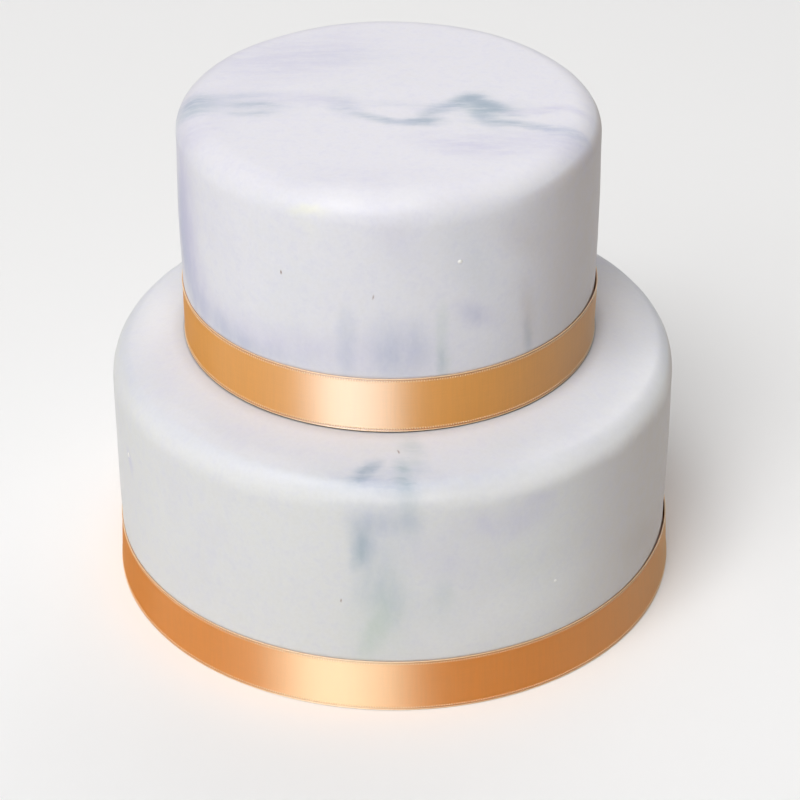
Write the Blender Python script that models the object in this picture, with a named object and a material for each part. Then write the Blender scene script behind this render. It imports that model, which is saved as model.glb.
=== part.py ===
"""Two-tier fondant cake with a satin ribbon round the foot of each tier.

Metres, +Z up. The origin is the middle of the lower tier's underside, and the cake's front faces -Y.
Each ribbon is wound once round its tier and laps over its own start at the back.
"""

import math
from dataclasses import dataclass

import bmesh
import bpy

# Driving dimensions
RIBBON_WIDTH = 0.024
RIBBON_THICKNESS = 0.0004
RIBBON_CLEARANCE = 0.0005  # from a ribbon's lower edge down to what its tier stands on
LAP_LENGTH = 0.018  # of ribbon, over its own start
LAP_CLIMB = 0.020  # run over which the closing end rises on to the start
GAP = 0.0003  # between pieces that touch
LIP = 0.0004  # the icing swells out this far over a ribbon tied round it
LIP_RISE = 0.0012  # height over which it swells

# Fineness of the meshes
SECTORS = 96  # round a tier and along a ribbon
WALL_STEPS = 4  # up the wall, above the ribbon
RIM_STEPS = 9  # over the rounded rim
TOP_STEPS = 3  # from the rim in to the centre
BAND_STEPS = 2  # up the wall behind the ribbon


@dataclass(frozen=True)
class Tier:
    """One covered tier: an upright wall, a rounded rim and a top that rises to its middle, all slightly uneven."""

    centre: tuple  # x, y of its axis
    base: float  # height of its underside
    height: float  # of the rim
    foot_radius: float  # at the underside
    foot_drift: tuple  # how far the foot reaches out towards +X and +Y
    waist_radius: float  # at the ribbon's upper edge
    shoulder_radius: float  # where the rim starts to turn in
    belly: float  # how far the wall swells half way up
    rim_in: float  # how far the rim reaches in from the wall
    rim_down: float  # and down from the top
    rim_turn: float  # how far the rim's arc goes round, from the wall
    rim_drift: tuple  # share by which the rim grows towards +X and +Y
    dome: float  # rise of the top's middle over the rim
    dome_reach: float  # share of the way in from the rim over which the top rises
    waves: tuple  # (count round the tier, depth, turn) of each slow wave in the wall
    seam: float  # angle of the ribbon's start, from +X


LOWER = Tier(
    centre=(-0.0003, -0.0011),
    base=0.0,
    height=0.1092,
    foot_radius=0.1212,
    foot_drift=(0.0006, 0.0007),
    waist_radius=0.1193,
    shoulder_radius=0.1194,
    belly=0.0003,
    rim_in=0.0098,
    rim_down=0.0136,
    rim_turn=math.radians(81),
    rim_drift=(-0.076, 0.071),
    dome=0.0038,
    dome_reach=0.21,
    waves=((2, 0.00034, 0.56), (3, 0.00034, -0.78)),
    seam=math.radians(84),
)
UPPER = Tier(
    centre=(-0.0019, 0.0020),
    base=LOWER.height + LOWER.dome + GAP,
    height=0.1024,
    foot_radius=0.0866,
    foot_drift=(0.0002, -0.0007),
    waist_radius=0.0865,
    shoulder_radius=0.0865,
    belly=0.0005,
    rim_in=0.0126,
    rim_down=0.0102,
    rim_turn=math.radians(90),
    rim_drift=(0.061, -0.093),
    dome=0.0010,
    dome_reach=1.0,
    waves=((2, 0.00010, 0.07), (3, 0.00015, 1.00)),
    seam=math.radians(97),
)


def smooth(share):
    """0 to 1 with no kink at either end."""
    share = min(max(share, 0.0), 1.0)
    return share * share * (3 - 2 * share)


def blend(a, b, share):
    return a + (b - a) * share


def band_top(tier):
    """Height of the ribbon's upper edge above the tier's underside."""
    return RIBBON_CLEARANCE + RIBBON_WIDTH


def towards(drift, angle):
    """The share of a drift (+X, +Y) that points along an angle."""
    return drift[0] * math.cos(angle) + drift[1] * math.sin(angle)


def wave(tier, angle):
    return sum(depth * math.cos(count * (angle - turn)) for count, depth, turn in tier.waves)


def wall_radius(tier, angle, height):
    """The wall's distance from the tier's axis, at a height above its underside."""
    top = band_top(tier)
    if height <= top:
        foot = tier.foot_radius + towards(tier.foot_drift, angle)
        return blend(foot, tier.waist_radius, height / top) + wave(tier, angle)
    share = (height - top) / (tier.height - tier.rim_down - top)
    swell = tier.belly * math.sin(math.pi * min(share, 1.0))
    hollow = LIP * (1 - smooth((height - top) / LIP_RISE))
    over_ribbon = tier.waist_radius + LIP
    return blend(over_ribbon, tier.shoulder_radius, smooth(share)) + swell - hollow + wave(tier, angle)


def section(tier, angle):
    """Points (radius, height) of the tier's outline at one angle, from its foot to the edge of its centre."""
    scale = 1 + towards(tier.rim_drift, angle)
    rim_in, rim_down = tier.rim_in * scale, tier.rim_down * scale
    heights = [band_top(tier) * step / BAND_STEPS for step in range(BAND_STEPS)]
    wall_top = tier.height - rim_down
    lip_top = band_top(tier) + LIP_RISE
    heights += [band_top(tier)] + [blend(lip_top, wall_top, step / WALL_STEPS) for step in range(WALL_STEPS + 1)]
    points = [(wall_radius(tier, angle, height), height) for height in heights]
    shoulder = points[-1][0]
    for step in range(1, RIM_STEPS + 1):
        turn = tier.rim_turn * step / RIM_STEPS
        points.append((shoulder - rim_in * (1 - math.cos(turn)), wall_top + rim_down * math.sin(turn)))
    edge, edge_height = points[-1]
    for step in range(1, TOP_STEPS + 1):
        inwards = step / TOP_STEPS
        rise = 1 - (1 - inwards) ** 1.25
        if inwards * tier.dome_reach < 1:
            height = blend(edge_height, tier.height + tier.dome, rise)
            points.append((edge * (1 - inwards * tier.dome_reach), height))
    return points


def make_object(name, mesh_builder, material):
    """An object from a bmesh, shaded smooth but for its sharp edges."""
    bmesh.ops.recalc_face_normals(mesh_builder, faces=mesh_builder.faces)
    mesh = bpy.data.meshes.new(name)
    mesh_builder.to_mesh(mesh)
    mesh_builder.free()
    mesh.shade_smooth()
    mesh.set_sharp_from_angle(angle=math.radians(40))
    mesh.materials.append(material)
    obj = bpy.data.objects.new(name, mesh)
    bpy.context.scene.collection.objects.link(obj)
    return obj


def join_loops(builder, first, second, closed):
    """Quads between two equal runs of vertices."""
    count = len(first)
    for i in range(count if closed else count - 1):
        j = (i + 1) % count
        builder.faces.new((first[i], first[j], second[j], second[i]))


def make_tier(name, tier, material):
    """The tier as one solid: rings from its foot over the rim to the centre of its top."""
    builder = bmesh.new()
    angles = [2 * math.pi * i / SECTORS for i in range(SECTORS)]
    sections = [section(tier, angle) for angle in angles]
    rings = []
    for level in range(len(sections[0])):
        ring = []
        for angle, points in zip(angles, sections):
            radius, height = points[level]
            place = (radius * math.cos(angle), radius * math.sin(angle), height)
            ring.append(builder.verts.new(place))
        rings.append(ring)
    for lower, upper in zip(rings, rings[1:]):
        join_loops(builder, lower, upper, closed=True)
    builder.faces.new(reversed(rings[0]))
    centre = builder.verts.new((0, 0, tier.height + tier.dome))
    for i in range(SECTORS):
        builder.faces.new((rings[-1][i], rings[-1][(i + 1) % SECTORS], centre))
    obj = make_object(name, builder, material)
    obj.location = (*tier.centre, tier.base)
    return obj


def make_ribbon(name, tier, material):
    """A flat band wound round the tier's foot, whose closing end laps over its start."""
    builder = bmesh.new()
    around = tier.foot_radius + GAP
    whole = 2 * math.pi + LAP_LENGTH / around
    lap_height = RIBBON_THICKNESS + GAP
    steps = round(SECTORS * whole / (2 * math.pi))
    low, high = RIBBON_CLEARANCE, band_top(tier)
    corners = [(0, low), (RIBBON_THICKNESS, low), (RIBBON_THICKNESS, high), (0, high)]
    rails = [[] for _ in corners]
    for i in range(steps + 1):
        turned = whole * i / steps
        angle = tier.seam + turned
        climb = smooth(1 - (2 * math.pi - turned) * around / LAP_CLIMB)
        for rail, (out, height) in zip(rails, corners):
            radius = wall_radius(tier, angle, height) + GAP + lap_height * climb + out
            place = (radius * math.cos(angle), radius * math.sin(angle), height)
            rail.append(builder.verts.new(place))
    for i, rail in enumerate(rails):
        join_loops(builder, rail, rails[(i + 1) % len(rails)], closed=False)
    builder.faces.new([rail[0] for rail in rails])
    builder.faces.new([rail[-1] for rail in reversed(rails)])
    obj = make_object(name, builder, material)
    obj.location = (*tier.centre, tier.base)
    return obj


def make_material(name, colour, roughness):
    material = bpy.data.materials.new(name)
    material.use_nodes = True
    shader = material.node_tree.nodes["Principled BSDF"]
    shader.inputs["Base Color"].default_value = (*colour, 1)
    shader.inputs["Roughness"].default_value = roughness
    shader.inputs["Metallic"].default_value = 0.0
    return material


def fondant():
    return make_material("fondant", (0.72, 0.71, 0.76), 0.55)


def satin():
    return make_material("satin_ribbon", (0.80, 0.49, 0.24), 0.35)


def main():
    for obj in list(bpy.data.objects):
        bpy.data.objects.remove(obj)
    cover, ribbon = fondant(), satin()
    make_tier("lower_tier", LOWER, cover)
    make_tier("upper_tier", UPPER, cover)
    make_ribbon("lower_ribbon", LOWER, ribbon)
    make_ribbon("upper_ribbon", UPPER, ribbon)


main()
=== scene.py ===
import math

import bpy
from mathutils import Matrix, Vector, noise


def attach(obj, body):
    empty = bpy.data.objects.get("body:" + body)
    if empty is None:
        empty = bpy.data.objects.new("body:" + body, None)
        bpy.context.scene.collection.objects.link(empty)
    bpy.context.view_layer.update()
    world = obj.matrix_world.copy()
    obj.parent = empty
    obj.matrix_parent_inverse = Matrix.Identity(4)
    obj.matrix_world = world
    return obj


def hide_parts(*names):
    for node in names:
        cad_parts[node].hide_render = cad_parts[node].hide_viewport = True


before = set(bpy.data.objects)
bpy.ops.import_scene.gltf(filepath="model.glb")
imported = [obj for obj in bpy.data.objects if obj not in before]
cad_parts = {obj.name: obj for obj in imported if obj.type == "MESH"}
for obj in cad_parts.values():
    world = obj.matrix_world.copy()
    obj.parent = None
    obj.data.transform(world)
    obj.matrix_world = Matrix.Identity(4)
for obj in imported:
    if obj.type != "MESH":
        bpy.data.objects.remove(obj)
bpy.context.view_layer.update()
print("frame loaded:", ", ".join(sorted(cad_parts)))

scene = bpy.context.scene

# what both tiers and both ribbons share, in metres
ribbonCut = {
    "width": 0.024,
    "thickness": 0.00036,
    "clearance": 0.0003,      # under the lower edge
    "gap": 0.00006,           # between ribbon and fondant
    "lap": 0.018,             # closing end over the start
    "climb": 0.020,           # run over which it climbs
    "ride": 0.0002,           # how far the band wanders up and down
    "rideWave": 0.050,        # and over what length
    "ripple": 0.00005,        # how far its face wanders out
    "rippleWaves": (0.035, 0.030),     # length and height of those ripples
}
creaseAngle = math.radians(50)     # edges sharper than this aren't shaded smooth


def smooth(share):
    share = min(max(share, 0.0), 1.0)
    return share * share * (3 - 2 * share)


def blend(a, b, share):
    return a + (b - a) * share


def colour(red, green, blue):
    # screen values of 0 to 255 into the linear ones that shaders take
    def linear(value):
        value /= 255
        return value / 12.92 if value <= 0.04045 else ((value + 0.055) / 1.055) ** 2.4
    return (linear(red), linear(green), linear(blue), 1.0)


def feed(tree, node, inputs):
    # a socket is linked to its input, anything else is the input's own value
    for key, value in inputs.items():
        if isinstance(value, bpy.types.NodeSocket):
            tree.links.new(value, node.inputs[key])
        else:
            node.inputs[key].default_value = value


def newMaterial(name):
    material = bpy.data.materials.new(name)
    material.use_nodes = True
    return material, material.node_tree, material.node_tree.nodes["Principled BSDF"]


def newObject(name, points, faces, material):
    mesh = bpy.data.meshes.new(name)
    mesh.from_pydata(points, [], faces)
    mesh.validate()
    mesh.shade_smooth()
    mesh.materials.append(material)
    obj = bpy.data.objects.new(name, mesh)
    scene.collection.objects.link(obj)
    return obj


# camera, lights and floor

view = {
    "place": (0.00255, -0.93674, 0.67737),
    "pitch": 0.5785,          # radians below the horizon
    "sensor": 36,             # in mm, as the lens is
    "lens": 115.33,
    "shiftUp": 0.01841,       # share of the sensor
}


def makeCamera():
    data = bpy.data.cameras.new("camera")
    data.sensor_width = view["sensor"]
    data.lens = view["lens"]
    data.shift_y = view["shiftUp"]
    camera = bpy.data.objects.new("camera", data)
    camera.location = view["place"]
    camera.rotation_euler = (math.pi / 2 - view["pitch"], 0, 0)
    scene.collection.objects.link(camera)
    scene.camera = camera


studio = {
    "aim": (0, 0, 0.10),
    "sky": 0.045,
    "skyTint": (1.0, 0.86, 0.74, 1),
    "floorReach": 6.0,        # from its middle to each side
    "floorTint": (0.91, 0.91, 0.91, 1),
    "floorRoughness": 0.8,
    "floorGloss": 0.1,
    "lampDistance": 6.0,
    "lampSize": 3.2,          # width and height
    "lamps": [
        # name, degrees right of the camera, degrees up, watts
        ("key", -24, 62, 230.0),
        ("keyLeft", -35, 47, 92.0),
        ("left", -60, 35, 20.0),
        ("lowLeft", -90, 15, 11.0),
        ("back", 180, 50, 35.0),
        ("backLow", 180, 25, 18.0),
        ("backRight", 140, 50, 36.0),
        ("backRightLow", 155, 22, 27.0),
        ("backLeftLow", -155, 22, 8.0),
    ],
}


def makeLights():
    world = bpy.data.worlds.new("studio")
    scene.world = world
    world.use_nodes = True
    feed(world.node_tree, world.node_tree.nodes["Background"],
         {"Color": studio["skyTint"], "Strength": studio["sky"]})
    aim = Vector(studio["aim"])
    for name, around, up, watts in studio["lamps"]:
        turn, rise = math.radians(around), math.radians(up)
        away = Vector((math.sin(turn) * math.cos(rise), -math.cos(turn) * math.cos(rise), math.sin(rise)))
        data = bpy.data.lights.new(name, "AREA")
        data.shape = "SQUARE"
        data.size = studio["lampSize"]
        data.energy = watts
        lamp = bpy.data.objects.new(name, data)
        lamp.location = aim + away * studio["lampDistance"]
        lamp.rotation_euler = (-away).to_track_quat("-Z", "Y").to_euler()
        scene.collection.objects.link(lamp)
    scene.view_settings.view_transform = "Standard"


def makeFloor():
    material, tree, shader = newMaterial("paleFloor")
    feed(tree, shader, {"Base Color": studio["floorTint"], "Roughness": studio["floorRoughness"],
                        "Specular IOR Level": studio["floorGloss"]})
    reach = studio["floorReach"]
    corners = [(-reach, -reach, 0), (reach, -reach, 0), (reach, reach, 0), (-reach, reach, 0)]
    floor = newObject("floor", corners, [(0, 1, 2, 3)], material)


makeCamera()
makeLights()
makeFloor()
print("camera, lights and floor made")


# what the materials' nodes are made with

noiseSpan = (0.3, 0.7)     # nearly all values of a noise lie between these


def addNode(tree, kind, inputs=None, **settings):
    made = tree.nodes.new(kind)
    for key, value in settings.items():
        setattr(made, key, value)
    feed(tree, made, inputs or {})
    return made


def noiseOf(tree, vector, feature, detail=2.0, roughness=0.5):
    # feature is the size of its blotches in metres
    return addNode(tree, "ShaderNodeTexNoise", {"Vector": vector, "Scale": 1 / feature, "Detail": detail,
                                                "Roughness": roughness})


def ranged(tree, value, low, high, toLow, toHigh):
    made = addNode(tree, "ShaderNodeMapRange", {"Value": value, "From Min": low, "From Max": high,
                                                "To Min": toLow, "To Max": toHigh})
    made.interpolation_type = "SMOOTHSTEP"
    return made.outputs["Result"]


def mathOf(tree, operation, first, second):
    return addNode(tree, "ShaderNodeMath", {0: first, 1: second}, operation=operation).outputs[0]


def mixColours(tree, share, first, second):
    return addNode(tree, "ShaderNodeMix", {0: share, 6: first, 7: second}, data_type="RGBA").outputs[2]


def vectorOf(tree, operation, inputs):
    return addNode(tree, "ShaderNodeVectorMath", inputs, operation=operation).outputs[0]


def stretched(tree, vector, scale):
    return addNode(tree, "ShaderNodeMapping", {"Vector": vector, "Scale": scale}).outputs[0]


# fondant tiers, in metres

lip = {"out": 0.00016, "rise": 0.0009, "rows": 4}     # icing swelling out over a tied ribbon
foot = {"in": 0.0022, "rise": 0.0018, "rows": 5}      # trimmed edge, tucked in behind the ribbon
domeCurve = 1.25     # above 1 the top's slope is steepest beside the rim
lowerTier = {
    "node": "lower_tier",
    "centre": (-0.0003, -0.0011),
    "base": 0.0,
    "height": 0.1092,                      # of the rim
    "footRadius": 0.1212,                  # under the ribbon's lower edge
    "footDrift": (0.0006, 0.0007),         # how far that ring lies off the centre
    "waistRadius": 0.1193,                 # at the ribbon's upper edge
    "shoulderRadius": 0.1194,              # where the rim starts to turn in
    "belly": 0.0003,
    "rimIn": 0.0098,
    "rimDown": 0.0136,
    "rimTurn": math.radians(81),
    "rimDrift": (-0.076, 0.071),           # share by which the rim is rounder towards +X and +Y
    "dome": 0.0038,                        # rise inside the rim
    "domeReach": 0.21,                     # share of the way in that it takes
    "waves": ((2, 0.00034, 0.56), (3, 0.00034, -0.78)),     # lobes round the wall, their depth and turn
    "seam": math.radians(84),              # where its ribbon starts
    "slack": (-8, 0.0008, 14),             # degrees from +X where it stands off, how far, and over how many
    "sectors": 480,
    "bandRows": 10, "wallRows": 46, "rimRows": 24, "slopeRows": 16, "flatRows": 20,
    "seed": 3.0,
    # top a little darker than the wall: painted shade where the upper tier keeps light off
    "topIcing": colour(221, 223, 229),
    "wallIcing": colour(227, 228, 227),
}
upperTier = {
    "node": "upper_tier",
    "centre": (-0.0019, 0.0020),
    "base": 0.1133,
    "height": 0.1024,
    "footRadius": 0.0866,
    "footDrift": (0.0002, -0.0007),
    "waistRadius": 0.0865,
    "shoulderRadius": 0.0865,
    "belly": 0.0005,
    "rimIn": 0.0126,
    "rimDown": 0.0102,
    "rimTurn": math.radians(90),
    "rimDrift": (0.061, -0.093),
    "dome": 0.0010,
    "domeReach": 1.0,
    "waves": ((2, 0.00010, 0.07), (3, 0.00015, 1.00)),
    "seam": math.radians(97),
    "slack": (-9, 0.0007, 12),
    "sectors": 432,
    "bandRows": 10, "wallRows": 46, "rimRows": 20, "slopeRows": 50, "flatRows": 0,
    "seed": 8.0,
    "topIcing": colour(233, 232, 239),
    "wallIcing": colour(232, 232, 237),
}
relief = {
    "slow": (0.00022, 0.034),     # depth and width of the hand-smoothed swells
    "small": (0.00007, 0.010),
    "underRibbon": 0.25,          # share of it left behind the ribbon
    "fade": 0.008,                # run above the ribbon over which the rest comes up
}


def bandTop():
    return ribbonCut["clearance"] + ribbonCut["width"]


def towards(drift, angle):
    return drift[0] * math.cos(angle) + drift[1] * math.sin(angle)


def wallRadius(tier, angle, height):
    # below the ribbon's upper edge the wall narrows to the waist, above it the icing swells out again
    wave = sum(depth * math.cos(count * (angle - turn)) for count, depth, turn in tier["waves"])
    if height <= bandTop():
        reach = tier["footRadius"] + towards(tier["footDrift"], angle)
        return blend(reach, tier["waistRadius"], height / bandTop()) + wave
    share = (height - bandTop()) / (tier["height"] - tier["rimDown"] - bandTop())
    swell = tier["belly"] * math.sin(math.pi * min(share, 1.0))
    hollow = lip["out"] * (1 - smooth((height - bandTop()) / lip["rise"]))
    overRibbon = tier["waistRadius"] + lip["out"]
    return blend(overRibbon, tier["shoulderRadius"], smooth(share)) + swell - hollow + wave


def tuck(height):
    # how far the trimmed foot is drawn in
    return foot["in"] * (1 - smooth(height / foot["rise"]))


def tierSection(tier, angle):
    # (radius, height, how far the surface faces up) from the foot to near the centre
    scale = 1 + towards(tier["rimDrift"], angle)
    rimIn, rimDown = tier["rimIn"] * scale, tier["rimDown"] * scale
    wallTop = tier["height"] - rimDown
    heights = [foot["rise"] * row / foot["rows"] for row in range(foot["rows"])]
    heights += [blend(foot["rise"], bandTop(), row / tier["bandRows"]) for row in range(tier["bandRows"])]
    heights += [bandTop() + lip["rise"] * row / lip["rows"] for row in range(lip["rows"])]
    lipTop = bandTop() + lip["rise"]
    heights += [blend(lipTop, wallTop, row / tier["wallRows"]) for row in range(tier["wallRows"] + 1)]
    section = [(wallRadius(tier, angle, height) - tuck(height), height, 0.0) for height in heights]
    shoulder = section[-1][0]
    for row in range(1, tier["rimRows"] + 1):
        turn = tier["rimTurn"] * row / tier["rimRows"]
        section.append((shoulder - rimIn * (1 - math.cos(turn)), wallTop + rimDown * math.sin(turn), turn))
    edge, edgeHeight, _ = section[-1]
    middle = tier["height"] + tier["dome"]
    lastSlope = tier["slopeRows"] if tier["flatRows"] else tier["slopeRows"] - 1
    for row in range(1, lastSlope + 1):
        inwards = row / tier["slopeRows"]
        height = blend(edgeHeight, middle, 1 - (1 - inwards) ** domeCurve)
        section.append((edge * (1 - inwards * tier["domeReach"]), height, math.pi / 2))
    flatEdge = edge * (1 - tier["domeReach"])
    for row in range(1, tier["flatRows"]):
        section.append((flatEdge * (1 - row / tier["flatRows"]), middle, math.pi / 2))
    return section


def swellAt(tier, point, height):
    deep, wide = relief["slow"]
    fine, narrow = relief["small"]
    seed = Vector((0, 0, tier["seed"]))
    swell = deep * noise.noise(point / wide + seed) + fine * noise.noise(point / narrow + seed)
    return swell * blend(relief["underRibbon"], 1.0, smooth((height - bandTop()) / relief["fade"]))


def makeTier(name, tier, material):
    sectors = tier["sectors"]
    points, faces = [], []
    for sector in range(sectors):
        angle = 2 * math.pi * sector / sectors
        outward = Vector((math.cos(angle), math.sin(angle), 0))
        for radius, height, turn in tierSection(tier, angle):
            point = outward * radius + Vector((0, 0, height))
            facing = outward * math.cos(turn) + Vector((0, 0, math.sin(turn)))
            if height > 0:
                point += facing * swellAt(tier, point, height)
            points.append(point)
    rows = len(points) // sectors
    for sector in range(sectors):
        here, there = sector * rows, (sector + 1) % sectors * rows
        for row in range(rows - 1):
            faces.append((here + row, there + row, there + row + 1, here + row + 1))
        faces.append((here + rows - 1, there + rows - 1, sectors * rows))
    top = Vector((0, 0, tier["height"] + tier["dome"]))
    points.append(top + Vector((0, 0, swellAt(tier, top, top.z))))
    faces.append([sector * rows for sector in reversed(range(sectors))])
    place = Vector((*tier["centre"], tier["base"]))
    obj = newObject(name, [point + place for point in points], faces, material)
    obj.data.set_sharp_from_angle(angle=creaseAngle)
    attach(obj, "root")
    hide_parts(tier["node"])
    return obj


icing = {
    "roughness": (0.41, 0.52),
    "gloss": 0.45,
    "glow": 0.12,                          # share of the light that comes back from inside
    "glowReach": (1.0, 0.95, 0.9),
    "glowScale": 0.003,
    "wander": ((0.028, 0.0016), (0.005, 0.0011)),     # width and reach of what pushes the dyes' edges about
    # dye lies in a stroke as threads: stretch along x, y and z, width, and the least and most of the dye
    "threads": {
        "top": ((0.22, 1, 1), 0.0035, (0.50, 1.45)),
        "wall": ((1, 1, 0.35), 0.0063, (0.74, 1.26)),
    },
    "threadDetail": (3.0, 0.6),
    "rim": (0.008, 0.0005),                # depths at which the top's tone starts and is full
    # slow clouds and a fine mottle: width, detail, roughness,
    # then each dye with the noise at which it starts and is full, and its strength
    "tones": [
        (0.050, 4.0, 0.60, ("lavender", 0.50, 0.80, 0.16), ("sage", 0.50, 0.20, 0.10)),
        (0.0045, 3.0, 0.65, ("lavender", 0.40, 0.72, 0.16), ("clayAndShade", 0.60, 0.28, 0.05)),
    ],
    "rightShade": 0.54,                          # strength of the painted warm shade on the right of the walls
    "rightShadeReach": (0.46, 0.97),             # shares of the radius between which it comes up
    "crease": 0.0868,                      # from the upper tier's axis to where it stands on the lower one
    "creaseShades": ((0.0940, 0.18), (0.0884, 0.60)),     # how far out each shade ends, and its strength
    "grain": (0.0016, 3.0, 0.6),           # width, detail, roughness
    "grainTone": 0.012,
    "grainBump": (0.38, 0.00012),          # strength and depth
}
dyes = {
    "lavender": colour(200, 198, 223),
    "blueGrey": colour(172, 183, 206),
    "slate": colour(157, 174, 191),
    "teal": colour(148, 174, 182),
    "sage": colour(194, 208, 198),
    # warm grey: a fine mottle, and painted shade on the right of the walls
    "clayAndShade": colour(184, 166, 152),
    "cream": colour(250, 250, 212),
    # white: paler patches, and painted highlight along the rims
    "snowAndHighlight": colour(255, 255, 255),
    "cocoa": colour(128, 88, 66),
    "shade": colour(106, 86, 68),
}
# a stroke on a top: dye, strength, half width in mm, then the places x, y from the axis that it passes
upperTopStrokes = [
    ("blueGrey", 0.26, 10.0, (-84, -3), (-74, -2)),       # over the left rim
    ("slate", 0.42, 5.5, (-83, 1), (-76, 2)),
    ("teal", 0.25, 5.4, (-82, -7), (-75, -6)),
    ("blueGrey", 0.16, 11.8, (-65, -3), (-46, -3)),       # patch of streaks
    ("slate", 0.42, 3.4, (-61, -3), (-47, -4)),
    ("slate", 0.36, 3.1, (-62, -10), (-50, -10)),
    ("blueGrey", 0.30, 2.9, (-65, 5), (-52, 5)),
    ("lavender", 0.24, 6.4, (-48, 3), (-32, 2), (-18, -1)),
    ("blueGrey", 0.32, 6.3, (-19, -3), (-15, -10)),       # vein that dips towards the front
    ("blueGrey", 0.13, 3.6, (-15, -4), (1, -3), (17, -6)),
    ("slate", 0.38, 3.2, (-11, -13), (-4, -17), (1, -19)),
    ("blueGrey", 0.34, 2.8, (0, -19), (6, -20), (13, -19)),
    ("slate", 0.50, 4.4, (10, -19), (18, -19)),
    ("slate", 0.38, 5.4, (15, -15), (19, -9)),
    ("blueGrey", 0.36, 4.5, (20, -7), (28, -4)),
    ("slate", 0.50, 4.8, (27, -3), (34, 3), (39, 0)),     # the dark knot
    ("slate", 0.52, 5.4, (34, -2), (41, -6), (48, -10)),
    ("teal", 0.40, 5.4, (33, -7), (40, -14)),
    ("blueGrey", 0.30, 4.5, (36, -10), (40, -19)),
    ("slate", 0.20, 9.0, (29, -7), (47, -7)),
    ("slate", 0.46, 3.2, (37, -19), (49, -20), (62, -23)),
    ("blueGrey", 0.36, 3.7, (60, -24), (70, -26), (77, -28)),
    ("blueGrey", 0.20, 6.5, (66, -28), (75, -30)),
    ("lavender", 0.36, 2.9, (48, -11), (59, -9), (70, -5), (80, -10)),
    ("lavender", 0.22, 10.2, (17, -35), (32, -40), (44, -40)),
    ("lavender", 0.22, 12.1, (44, -35), (68, -33), (77, -35)),
    ("lavender", 0.20, 21.0, (-62, 36), (-42, 40), (-23, 48)),      # haze behind
    ("blueGrey", 0.08, 7.8, (-25, 42), (-2, 42)),
    ("lavender", 0.12, 14.7, (-30, -67), (4, -69)),
]
# a stroke on a wall: the same, but its places are degrees right of the front and height in mm
upperWallStrokes = [
    ("blueGrey", 0.60, 9.5, (-74, 72), (-73, 50), (-66, 34)),
    ("lavender", 0.50, 14.0, (-74, 92), (-71, 72), (-69, 52), (-62, 34)),
    ("lavender", 0.30, 13.0, (-94, 86), (-88, 60), (-82, 40)),
    ("blueGrey", 0.30, 6.5, (-60, 32), (-49, 30), (-41, 28)),
    ("lavender", 0.26, 10.0, (-54, 34), (-38, 33), (-24, 34), (-11, 35)),
    ("blueGrey", 0.16, 4.9, (-51, 25), (-35, 28), (-24, 28)),       # pooled along the ribbon
    ("blueGrey", 0.28, 4.0, (-11, 51), (-11, 39), (-11, 28)),
    ("lavender", 0.32, 14.6, (-2, 36), (7, 36)),
    ("blueGrey", 0.26, 8.5, (0, 44), (2, 28)),
    ("blueGrey", 0.16, 5.0, (0, 40), (0, 31)),
    ("blueGrey", 0.22, 5.5, (7, 47), (8, 36)),
    ("sage", 0.26, 3.0, (14, 54), (14, 39), (15, 25)),
    ("slate", 0.28, 2.4, (14, 36), (14, 25)),
    ("lavender", 0.36, 6.0, (21, 52), (26, 47)),
    ("blueGrey", 0.12, 3.6, (22, 51), (24, 49)),
    ("slate", 0.36, 2.4, (39, 38), (40, 26)),
    ("clayAndShade", 0.20, 4.1, (38, 52), (40, 33)),
    ("lavender", 0.16, 10.5, (-1, 94), (3, 83)),
    ("slate", 0.08, 9.7, (18, 85), (24, 67)),
    ("clayAndShade", 0.12, 8.0, (32, 84), (42, 74)),
    # white along the rim: painted highlight
    ("snowAndHighlight", 0.30, 2.4, (-20, 101), (-4, 101), (12, 101)),
    ("snowAndHighlight", 0.26, 3.2, (24, 100), (50, 99)),
    ("cream", 0.24, 2.2, (-25, 94), (-21, 96), (-17, 96)),
    ("cream", 0.10, 3.5, (-22, 91), (-20, 86)),
    ("cocoa", 0.95, 0.45, (-29, 67), (-29, 66)),          # specks
    ("cocoa", 0.60, 0.35, (-4, 62), (-4, 61)),
    ("lavender", 0.32, 12.0, (105, 40), (128, 44)),       # the back goes on in the same way
    ("blueGrey", 0.32, 4.5, (118, 52), (119, 30)),
    ("lavender", 0.26, 10.0, (150, 70), (172, 60)),
    ("slate", 0.28, 2.4, (163, 60), (164, 30)),
    ("sage", 0.28, 3.0, (186, 54), (187, 28)),
    ("blueGrey", 0.30, 4.0, (205, 60), (207, 28)),
    ("lavender", 0.34, 13.0, (196, 38), (228, 42)),
    ("lavender", 0.24, 7.0, (244, 84), (246, 60)),
    ("clayAndShade", 0.16, 12.0, (118, 76), (140, 70)),
]
lowerTopStrokes = [
    ("blueGrey", 0.30, 7.5, (-17, -113), (-3, -112), (9, -111)),
    ("slate", 0.55, 3.5, (-14, -110), (-10, -107), (-7, -104)),
    ("teal", 0.48, 3.4, (3, -105), (5, -112)),
    ("teal", 0.22, 5.2, (6, -90), (9, -101)),
    # white along the rims: painted highlight
    ("snowAndHighlight", 0.12, 4.5, (-92, -62), (-66, -89), (-34, -106)),       # painted highlight, front left
    ("snowAndHighlight", 0.26, 9.0, (-103, -10), (-102, 30)),
    ("snowAndHighlight", 0.10, 9.0, (84, -76), (99, -54), (108, -28), (108, 0)),
    ("snowAndHighlight", 0.30, 11.0, (100, 8), (98, 34)),
    ("cocoa", 0.70, 0.35, (2, -96), (2, -97)),
    ("lavender", 0.26, 6.0, (72, 74), (92, 60)),
    ("blueGrey", 0.26, 3.0, (-88, 60), (-66, 84), (-40, 100)),
    ("lavender", 0.24, 7.0, (-30, 104), (4, 108)),
    ("sage", 0.26, 5.0, (30, 98), (56, 90)),
]
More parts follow.
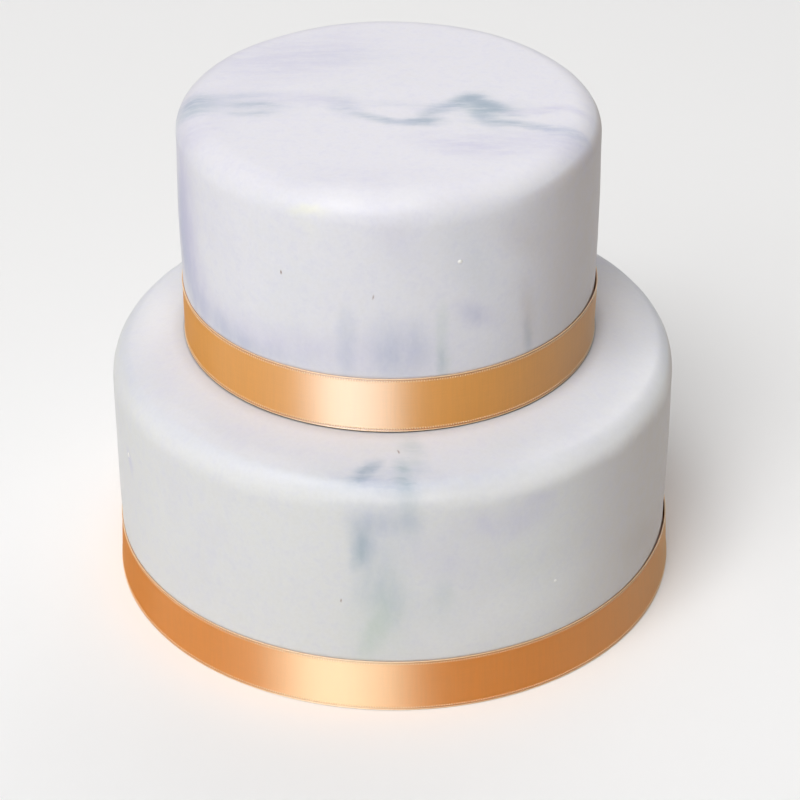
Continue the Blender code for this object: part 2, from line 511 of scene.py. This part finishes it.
lowerWallStrokes = [
    ("snowAndHighlight", 0.40, 2.8, (-12, 104), (-1, 104), (10, 104)),     # the run down the front, under a painted highlight along the rim
    ("blueGrey", 0.24, 6.0, (-6, 94), (-2, 93), (3, 94)),
    ("blueGrey", 0.14, 6.0, (3, 102), (3, 88)),
    ("slate", 0.34, 5.4, (-6, 90), (-6, 83), (-6, 75)),
    ("slate", 0.12, 3.2, (-7, 89), (-7, 82)),
    ("teal", 0.38, 3.0, (-6, 84), (-7, 74)),
    ("blueGrey", 0.17, 14.0, (-2, 92), (-3, 68)),
    ("teal", 0.14, 11.3, (-3, 68), (-2, 58), (-2, 48)),
    ("teal", 0.17, 4.9, (0, 61), (0, 50)),
    ("sage", 0.40, 4.8, (-2, 50), (-3, 42), (-5, 31)),
    ("sage", 0.22, 14.6, (-3, 46), (-3, 31)),
    ("teal", 0.12, 3.6, (10, 62), (10, 52)),
    ("teal", 0.09, 9.0, (8, 55), (10, 45)),
    ("lavender", 0.15, 8.0, (12, 87), (21, 88), (30, 91)),
    ("lavender", 0.18, 7.5, (20, 81), (29, 84)),
    ("lavender", 0.30, 3.2, (17, 92), (18, 87)),
    ("lavender", 0.22, 3.6, (28, 95), (31, 94)),
    ("lavender", 0.18, 12.2, (9, 75), (16, 68)),
    ("lavender", 0.42, 3.0, (-67, 78), (-66, 72)),
    # warm grey on the far right: painted shade
    ("clayAndShade", 0.20, 10.0, (58, 44), (72, 34)),
    # white along the rim: painted highlight
    ("snowAndHighlight", 0.20, 5.0, (-66, 105), (-40, 105), (-16, 104)),
    ("snowAndHighlight", 0.36, 4.5, (12, 103), (28, 103)),
    ("snowAndHighlight", 0.54, 4.5, (26, 103), (42, 103), (58, 103), (76, 103)),
    ("snowAndHighlight", 0.34, 4.0, (26, 107), (44, 107), (60, 107), (78, 107)),
    ("snowAndHighlight", 0.16, 14.0, (14, 40), (34, 48)),     # paler patch low on the right
    ("teal", 0.15, 6.5, (3, 110), (3, 94)),
    ("cocoa", 0.70, 0.35, (-10, 55), (-10, 54)),
    ("lavender", 0.26, 12.0, (100, 80), (124, 74)),       # the back
    ("slate", 0.30, 4.0, (132, 96), (133, 60)),
    ("sage", 0.30, 6.0, (134, 60), (135, 30)),
    ("sage", 0.26, 12.0, (150, 50), (170, 46)),
    ("lavender", 0.26, 10.0, (178, 84), (204, 78)),
    ("blueGrey", 0.28, 5.0, (214, 80), (215, 40)),
    ("sage", 0.24, 14.0, (232, 50), (252, 56)),
    ("blueGrey", 0.20, 6.0, (268, 88), (270, 60)),
]
evenDyes = ("clayAndShade", "snowAndHighlight", "cocoa")      # these lie flat, the others are broken into threads
spot = {
    "overrun": 0.87,      # half length, as a share of the run between two places
    "soft": 1.5,          # half size, as a multiple of the stroke's half width
    "topDepth": 0.018,    # how deep it goes into the icing
    "wallDepth": 0.030,
}


def spotsOf(tier, topStrokes, wallStrokes):
    # strokes as chains of long soft spots: dye, strength, centre, turn and half sizes in metres
    axis = Vector((*tier["centre"], tier["base"]))
    found = []
    for dye, strength, halfWidth, *places in topStrokes:
        for (x1, y1), (x2, y2) in zip(places, places[1:]):
            run = Vector((x2 - x1, y2 - y1)) / 1000
            centre = axis + Vector(((x1 + x2) / 2000, (y1 + y2) / 2000, tier["height"]))
            turn = (0, 0, math.atan2(run.y, run.x))
            soft = spot["soft"] * halfWidth / 1000
            half = (run.length * spot["overrun"] + soft, soft, spot["topDepth"])
            found.append((dye, strength, centre, turn, half))
    for dye, strength, halfWidth, *places in wallStrokes:
        for (around1, height1), (around2, height2) in zip(places, places[1:]):
            angle = math.radians(around1 + around2) / 2
            outward = Vector((math.sin(angle), -math.cos(angle), 0))
            run = math.radians(around2 - around1) * tier["waistRadius"], (height2 - height1) / 1000
            centre = axis + outward * tier["waistRadius"] + Vector((0, 0, (height1 + height2) / 2000))
            turn = (0, -math.atan2(run[1], run[0]), angle)
            soft = spot["soft"] * halfWidth / 1000
            half = (math.hypot(*run) * spot["overrun"] + soft, spot["wallDepth"], soft)
            found.append((dye, strength, centre, turn, half))
    return found


def pushed(tree, place):
    # the dyes' edges wander: the place is pushed about by a wide and a narrow noise
    for width, reach in icing["wander"]:
        push = noiseOf(tree, place, width).outputs["Color"]
        push = vectorOf(tree, "SUBTRACT", {0: push, 1: (0.5, 0.5, 0.5)})     # about its middle
        push = vectorOf(tree, "SCALE", {0: push, "Scale": 2 * reach})
        place = vectorOf(tree, "ADD", {0: place, 1: push})
    return place


def fondantMaterial(name, tier, strokes):
    material, tree, shader = newMaterial(name)
    place = addNode(tree, "ShaderNodeTexCoord").outputs["Object"]
    warped = pushed(tree, place)
    rimTop = tier["base"] + tier["height"]
    apart = addNode(tree, "ShaderNodeSeparateXYZ", {"Vector": place}).outputs
    onTop = ranged(tree, apart["Z"], *(rimTop - depth for depth in icing["rim"]), 0.0, 1.0)
    # threads of dye run across the top and down the wall
    shares = {}
    for side, (stretch, width, span) in icing["threads"].items():
        drawn = stretched(tree, warped, stretch)
        threads = noiseOf(tree, drawn, width, *icing["threadDetail"]).outputs["Fac"]
        shares[side] = ranged(tree, threads, *noiseSpan, *span)
    patchy = addNode(tree, "ShaderNodeMix", {0: onTop, 2: shares["wall"], 3: shares["top"]}).outputs[0]
    tint = mixColours(tree, onTop, tier["wallIcing"], tier["topIcing"])
    # painted shade: the right side of the walls darker and warmer
    near, far = (tier["centre"][0] + share * tier["waistRadius"] for share in icing["rightShadeReach"])
    rightShadeShare = mathOf(tree, "SUBTRACT", ranged(tree, apart["X"], near, far, 0.0, icing["rightShade"]), onTop)
    tint = mixColours(tree, mathOf(tree, "MAXIMUM", rightShadeShare, 0.0), tint, dyes["clayAndShade"])
    for width, detail, roughness, *tones in icing["tones"]:
        clouds = noiseOf(tree, place, width, detail, roughness).outputs["Fac"]
        for dye, begins, full, strength in tones:
            tint = mixColours(tree, ranged(tree, clouds, begins, full, 0.0, strength), tint, dyes[dye])
    for dye, strength, centre, turn, half in strokes:
        local = addNode(tree, "ShaderNodeMapping", {"Vector": warped, "Location": centre, "Rotation": turn,
                                                    "Scale": half}, vector_type="TEXTURE").outputs[0]
        inside = addNode(tree, "ShaderNodeTexGradient", {"Vector": local}, gradient_type="SPHERICAL")
        share = ranged(tree, inside.outputs["Fac"], 0.0, 1.0, 0.0, strength)
        if dye not in evenDyes:
            share = mathOf(tree, "MULTIPLY", share, patchy)
        tint = mixColours(tree, share, tint, dyes[dye])
    if tier is lowerTier:
        # painted shadow in the crease where the upper tier stands
        level = vectorOf(tree, "MULTIPLY", {0: place, 1: (1, 1, 0)})
        away = addNode(tree, "ShaderNodeVectorMath", {0: level, 1: (*upperTier["centre"], 0)},
                       operation="DISTANCE").outputs["Value"]
        for reach, strength in icing["creaseShades"]:
            shaded = ranged(tree, away, icing["crease"], reach, strength, 0.0)
            tint = mixColours(tree, shaded, tint, dyes["shade"])
    fine = noiseOf(tree, place, *icing["grain"]).outputs["Fac"]
    paler = ranged(tree, fine, *noiseSpan, 1 - icing["grainTone"], 1 + icing["grainTone"])
    grain = addNode(tree, "ShaderNodeHueSaturation", {"Color": tint, "Value": paler})
    strength, depth = icing["grainBump"]
    bump = addNode(tree, "ShaderNodeBump", {"Height": fine, "Strength": strength, "Distance": depth})
    feed(tree, shader, {
        "Base Color": grain.outputs["Color"],
        "Roughness": ranged(tree, fine, *noiseSpan, *icing["roughness"]),
        "Specular IOR Level": icing["gloss"],
        "Subsurface Weight": icing["glow"],
        "Subsurface Radius": icing["glowReach"],
        "Subsurface Scale": icing["glowScale"],
        "Normal": bump.outputs["Normal"],
    })
    return material


upperSpots = spotsOf(upperTier, upperTopStrokes, upperWallStrokes)
lowerSpots = spotsOf(lowerTier, lowerTopStrokes, lowerWallStrokes)
upperFondant = fondantMaterial("upperFondant", upperTier, upperSpots)
lowerFondant = fondantMaterial("lowerFondant", lowerTier, lowerSpots)
upperCover = makeTier("upper_fondant_tier", upperTier, upperFondant)
lowerCover = makeTier("lower_fondant_tier", lowerTier, lowerFondant)
print("tiers made:", len(upperCover.data.polygons), "and", len(lowerCover.data.polygons), "faces")


# crumbs of icing on the walls

crumbs = {
    "places": [
        # tier, degrees right of the front, height, half width, half height and rise in mm
        (upperTier, 18.5, 75.0, 1.1, 0.9, 0.45),
        (lowerTier, 33.5, 51.0, 0.8, 0.6, 0.35),
        (lowerTier, -67.0, 77.0, 1.0, 1.2, 0.40),
    ],
    "rings": 5,
    "sides": 14,
    "uneven": 0.22,           # share by which the outline wanders
    "lobes": 3,               # how quickly it does, going round
    "sunk": 0.0001,           # how far each stands in the wall, in metres
    "dye": colour(252, 250, 244),
    "mottle": 0.0006,
    "mottleShade": 0.5,
    "roughness": 0.55,
}


def makeCrumbs(name, material):
    points, faces = [], []
    rings, sides, lobes = crumbs["rings"], crumbs["sides"], crumbs["lobes"]
    for tier, around, height, halfWidth, halfHeight, rise in crumbs["places"]:
        angle = math.radians(around - 90)     # from +X, as the tiers' walls go round
        outward = Vector((math.cos(angle), math.sin(angle), 0))
        sideways = Vector((-math.sin(angle), math.cos(angle), 0))
        onWall = outward * wallRadius(tier, angle, height / 1000) + Vector((0, 0, height / 1000))
        onWall += outward * (swellAt(tier, onWall, height / 1000) - crumbs["sunk"])
        place = onWall + Vector((*tier["centre"], tier["base"]))
        first = len(points)
        for ring in range(rings):
            turn = math.pi / 2 * ring / rings
            for side in range(sides):
                a = 2 * math.pi * side / sides
                wander = noise.noise(Vector((lobes * math.cos(a), lobes * math.sin(a), around)))
                reach = (1 + crumbs["uneven"] * wander) * math.cos(turn) / 1000
                points.append(place + sideways * (halfWidth * reach * math.cos(a))
                              + Vector((0, 0, halfHeight * reach * math.sin(a)))
                              + outward * (rise * math.sin(turn) / 1000))
        points.append(place + outward * (rise / 1000))
        last = first + (rings - 1) * sides
        for side in range(sides):
            there = (side + 1) % sides
            for low in range(first, last, sides):
                high = low + sides
                faces.append((low + side, low + there, high + there, high + side))
            faces.append((last + side, last + there, len(points) - 1))
        faces.append([first + side for side in reversed(range(sides))])
    obj = newObject(name, points, faces, material)
    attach(obj, "root")
    return obj


def crumbMaterial(name):
    material, tree, shader = newMaterial(name)
    place = addNode(tree, "ShaderNodeTexCoord").outputs["Object"]
    mottle = noiseOf(tree, place, crumbs["mottle"]).outputs["Fac"]
    share = ranged(tree, mottle, *noiseSpan, 0.0, crumbs["mottleShade"])
    feed(tree, shader, {"Base Color": mixColours(tree, share, crumbs["dye"], upperTier["wallIcing"]),
                        "Roughness": crumbs["roughness"]})
    return material


makeCrumbs("icing_crumbs", crumbMaterial("icingCrumb"))
print("crumbs made:", len(crumbs["places"]))


# satin ribbons and their woven edges

satin = {
    "roughness": 0.46,
    "ior": 2.6,
    "lean": (0, 0, 0.6),      # added to the normal: the floats arch, so they catch light from higher up
    "float": 0.00022,         # width of a thread that runs along
    "floatStretch": (1, 0.02, 1),
    "floatTone": 0.025,       # how far its tone varies
    "bar": (0.0012, 3.0, 0.7),     # faint bars across: width, detail, roughness
    "barStretch": (0.05, 1, 1),
    "barTone": 0.03,
    "barBump": (0.12, 0.00005),    # strength and depth
    "step": 0.0010,           # between points along the band
    "columns": 16,            # across the outer face
    "innerColumns": 4,
}
selvedge = {
    # paler than the satin's dye: painted highlight on the threads
    "dye": colour(252, 221, 174),
    "pitch": 0.00105,         # between turns of the weft
    "turnMiddle": 0.0012,     # in from the edge
    "turnLength": 0.0009,
    "turnWidth": 0.00062,
    "turnHeight": 0.00034,
    "turnSides": 6,
    "turnRings": 4,
    "cord": 0.00021,          # half the thickness of the outermost thread
    "cordSides": 6,
    "inset": 0.00011,         # of that thread, in from the edge
    "groove": 0.0010,         # dark, from the edge in to the turns
    "grooveEnd": 0.0001,      # run over which it ends
    "grooveShade": 0.60,
    # colour of that painted groove shade
    "grooveShadeColour": colour(196, 104, 34),
    "mottle": 0.0008,
    "mottleShade": 0.3,
    "roughness": 0.36,
    "ior": 3.0,
    "step": 0.002,            # between points along the edge's path
}
# the floats' gloss is paler than the dye
upperSatin = {"dye": colour(250, 167, 52), "level": 0.85, "gloss": (0.88, 1.0, 1.0, 1)}
# the lower ribbon is the same satin, dyed deeper and yellower: painted warm light bounced up from below
lowerSatinWarmBounce = {"dye": colour(247, 138, 0), "level": 0.95, "gloss": (0.92, 1.0, 0.76, 1)}


def satinMaterial(name, kind):
    material, tree, shader = newMaterial(name)
    # the UV map is in metres: U across, V along; floats run along
    flat = addNode(tree, "ShaderNodeUVMap", uv_map="cloth").outputs[0]
    floats = noiseOf(tree, stretched(tree, flat, satin["floatStretch"]), satin["float"]).outputs["Fac"]
    bars = noiseOf(tree, stretched(tree, flat, satin["barStretch"]), *satin["bar"]).outputs["Fac"]
    tone = mathOf(tree, "ADD", ranged(tree, floats, *noiseSpan, -satin["floatTone"], satin["floatTone"]),
                  ranged(tree, bars, *noiseSpan, -satin["barTone"], satin["barTone"]))
    shade = addNode(tree, "ShaderNodeHueSaturation",
                    {"Color": kind["dye"], "Value": mathOf(tree, "ADD", tone, 1.0)})
    # painted shade: a dark line in the groove inside each edge
    half = ribbonCut["width"] / 2
    across = addNode(tree, "ShaderNodeSeparateXYZ", {"Vector": flat}).outputs["X"]
    fromMiddle = mathOf(tree, "ABSOLUTE", mathOf(tree, "SUBTRACT", across, half), 0.0)
    inner = half - selvedge["groove"]
    sunk = ranged(tree, fromMiddle, inner - selvedge["grooveEnd"], inner, 0.0, selvedge["grooveShade"])
    # arched floats
    facing = addNode(tree, "ShaderNodeNewGeometry").outputs["Normal"]
    arched = vectorOf(tree, "NORMALIZE", {0: vectorOf(tree, "ADD", {0: facing, 1: satin["lean"]})})
    strength, depth = satin["barBump"]
    bump = addNode(tree, "ShaderNodeBump", {"Height": bars, "Strength": strength, "Distance": depth,
                                            "Normal": arched})
    tangent = addNode(tree, "ShaderNodeTangent", direction_type="UV_MAP", uv_map="cloth")
    feed(tree, shader, {
        "Base Color": mixColours(tree, sunk, shade.outputs["Color"], selvedge["grooveShadeColour"]),
        "Roughness": satin["roughness"],
        "Anisotropic": 1.0,
        "IOR": satin["ior"],
        "Specular IOR Level": kind["level"],
        "Specular Tint": kind["gloss"],
        "Tangent": tangent.outputs[0],
        "Normal": bump.outputs["Normal"],
    })
    return material


def selvedgeMaterial(name):
    material, tree, shader = newMaterial(name)
    place = addNode(tree, "ShaderNodeTexCoord").outputs["Object"]
    mottle = noiseOf(tree, place, selvedge["mottle"]).outputs["Fac"]
    share = ranged(tree, mottle, *noiseSpan, 0.0, selvedge["mottleShade"])
    feed(tree, shader, {"Base Color": mixColours(tree, share, selvedge["dye"], upperSatin["dye"]),
                        "Roughness": selvedge["roughness"], "IOR": selvedge["ior"]})
    return material


def ribbonLength(tier):
    return 2 * math.pi * (tier["footRadius"] + ribbonCut["gap"]) + ribbonCut["lap"]


def ribbonPoint(tier, along, height, out):
    # a point on the wound band: along from its start, height above the tier's foot, out from its inner face
    around = tier["footRadius"] + ribbonCut["gap"]
    angle = tier["seam"] + along / around
    looseAt, loose, spread = tier["slack"]
    turned = math.degrees(math.remainder(angle - math.radians(looseAt), 2 * math.pi))
    loose *= math.exp(-(turned / spread) ** 2) * smooth(height / bandTop())
    climb = smooth(1 - (2 * math.pi * around - along) / ribbonCut["climb"])
    lift = (ribbonCut["thickness"] + ribbonCut["gap"]) * climb
    long, high = ribbonCut["rippleWaves"]
    ripple = ribbonCut["ripple"] * (1 + noise.noise(Vector((along / long, height / high, tier["seed"]))))
    radius = wallRadius(tier, angle, height) + ribbonCut["gap"] + lift + ripple + loose + out
    height += ribbonCut["ride"] * noise.noise(Vector((along / ribbonCut["rideWave"], 0.0, tier["seed"])))
    x, y = tier["centre"]
    return Vector((x + radius * math.cos(angle), y + radius * math.sin(angle), tier["base"] + height))


def makeRibbon(name, tier, node, material):
    length = ribbonLength(tier)
    steps = round(length / satin["step"])
    low, wide, thick = ribbonCut["clearance"], ribbonCut["width"], ribbonCut["thickness"]
    columns, inner = satin["columns"], satin["innerColumns"]
    loop = [(wide * i / columns, thick) for i in range(columns + 1)]
    loop += [(wide * i / inner, 0.0) for i in reversed(range(inner + 1))]
    points, faces, flat = [], [], []
    for step in range(steps + 1):
        along = length * step / steps
        for across, out in loop:
            points.append(ribbonPoint(tier, along, low + across, out))
            flat.append((across, along))
    count = len(loop)
    for step in range(steps):
        here, there = step * count, (step + 1) * count
        for i in range(count):
            j = (i + 1) % count
            faces.append((here + i, there + i, there + j, here + j))
    faces.append(list(range(count)))
    faces.append([steps * count + i for i in reversed(range(count))])
    obj = newObject(name, points, faces, material)
    obj.data.set_sharp_from_angle(angle=creaseAngle)
    cloth = obj.data.uv_layers.new(name="cloth")
    for item in obj.data.loops:
        cloth.data[item.index].uv = flat[item.vertex_index]
    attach(obj, "root")
    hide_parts(node)
    return obj


def weftTurnsTree():
    # turns of the weft along a thread that follows a ribbon's edge
    tree = bpy.data.node_groups.new("weftTurns", "GeometryNodeTree")
    face = tree.interface
    face.new_socket("Geometry", in_out="INPUT", socket_type="NodeSocketGeometry")
    for name in ("Pitch", "Inwards", "Turn Length", "Turn Width", "Turn Height", "Cord"):
        face.new_socket(name, in_out="INPUT", socket_type="NodeSocketFloat")
    face.new_socket("Thread", in_out="INPUT", socket_type="NodeSocketMaterial")
    face.new_socket("Geometry", in_out="OUTPUT", socket_type="NodeSocketGeometry")
    given = tree.nodes.new("NodeGroupInput").outputs
    points = addNode(tree, "GeometryNodeCurveToPoints", {
        "Curve": given["Geometry"], "Length": given["Pitch"]}, mode="LENGTH")
    facing = addNode(tree, "FunctionNodeAlignRotationToVector", {"Vector": points.outputs["Tangent"]},
                     axis="X", pivot_axis="Z")
    turn = addNode(tree, "GeometryNodeMeshUVSphere", {
        "Segments": selvedge["turnSides"], "Rings": selvedge["turnRings"], "Radius": 0.5})
    size = addNode(tree, "ShaderNodeCombineXYZ", {"X": given["Turn Width"], "Y": given["Turn Height"],
                                                  "Z": given["Turn Length"]})
    middle = addNode(tree, "ShaderNodeCombineXYZ", {"Z": given["Inwards"]})
    shaped = addNode(tree, "GeometryNodeTransform", {
        "Geometry": turn.outputs["Mesh"], "Scale": size.outputs[0], "Translation": middle.outputs[0]})
    turns = addNode(tree, "GeometryNodeInstanceOnPoints", {
        "Points": points.outputs["Points"], "Instance": shaped.outputs[0], "Rotation": facing.outputs[0]})
    ring = addNode(tree, "GeometryNodeCurvePrimitiveCircle", {
        "Resolution": selvedge["cordSides"], "Radius": given["Cord"]})
    cord = addNode(tree, "GeometryNodeCurveToMesh", {
        "Curve": given["Geometry"], "Profile Curve": ring.outputs["Curve"], "Fill Caps": True})
    both = tree.nodes.new("GeometryNodeJoinGeometry")
    tree.links.new(turns.outputs[0], both.inputs[0])
    tree.links.new(cord.outputs[0], both.inputs[0])
    plain = addNode(tree, "GeometryNodeRealizeInstances", {"Geometry": both.outputs[0]})
    rounded = addNode(tree, "GeometryNodeSetShadeSmooth", {"Geometry": plain.outputs[0]})
    done = addNode(tree, "GeometryNodeSetMaterial", {
        "Geometry": rounded.outputs[0], "Material": given["Thread"]})
    result = tree.nodes.new("NodeGroupOutput")
    tree.links.new(done.outputs[0], result.inputs[0])
    return tree


def makeSelvedge(name, tier, height, inwards, material, tree):
    length = ribbonLength(tier)
    steps = round(length / selvedge["step"])
    curve = bpy.data.curves.new(name + ".path", "CURVE")
    curve.dimensions = "3D"
    spline = curve.splines.new("POLY")
    spline.points.add(steps)
    for step, point in enumerate(spline.points):
        point.co = (*ribbonPoint(tier, length * step / steps, height, ribbonCut["thickness"]), 1)
    path = bpy.data.objects.new(name + ".path", curve)
    scene.collection.objects.link(path)
    modifier = path.modifiers.new("weftTurns", "NODES")
    modifier.node_group = tree
    values = {"Pitch": selvedge["pitch"], "Inwards": inwards, "Turn Length": selvedge["turnLength"],
              "Turn Width": selvedge["turnWidth"], "Turn Height": selvedge["turnHeight"],
              "Cord": selvedge["cord"], "Thread": material}
    for item in tree.interface.items_tree:
        if item.name in values:
            modifier[item.identifier] = values[item.name]
    made = bpy.data.meshes.new_from_object(path.evaluated_get(bpy.context.evaluated_depsgraph_get()))
    bpy.data.objects.remove(path)
    obj = bpy.data.objects.new(name, made)
    scene.collection.objects.link(obj)
    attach(obj, "root")
    return obj


satins = {
    "upper": satinMaterial("upperSatin", upperSatin),
    "lower": satinMaterial("lowerSatinWarmBounce", lowerSatinWarmBounce),
}
selvedgeThread = selvedgeMaterial("selvedgeThread")
weftTurns = weftTurnsTree()
low, high = ribbonCut["clearance"], bandTop()
inset = selvedge["inset"]
toTurn = selvedge["turnMiddle"] - inset
for level, tier in (("upper", upperTier), ("lower", lowerTier)):
    band = makeRibbon(level + "_satin_ribbon", tier, level + "_ribbon", satins[level])
    bottomEdge = makeSelvedge(level + "_ribbon_bottom_selvedge", tier, low + inset, toTurn,
                              selvedgeThread, weftTurns)
    topEdge = makeSelvedge(level + "_ribbon_top_selvedge", tier, high - inset, -toTurn,
                           selvedgeThread, weftTurns)
print("ribbons made:", round(ribbonLength(upperTier), 3), "and", round(ribbonLength(lowerTier), 3), "m")
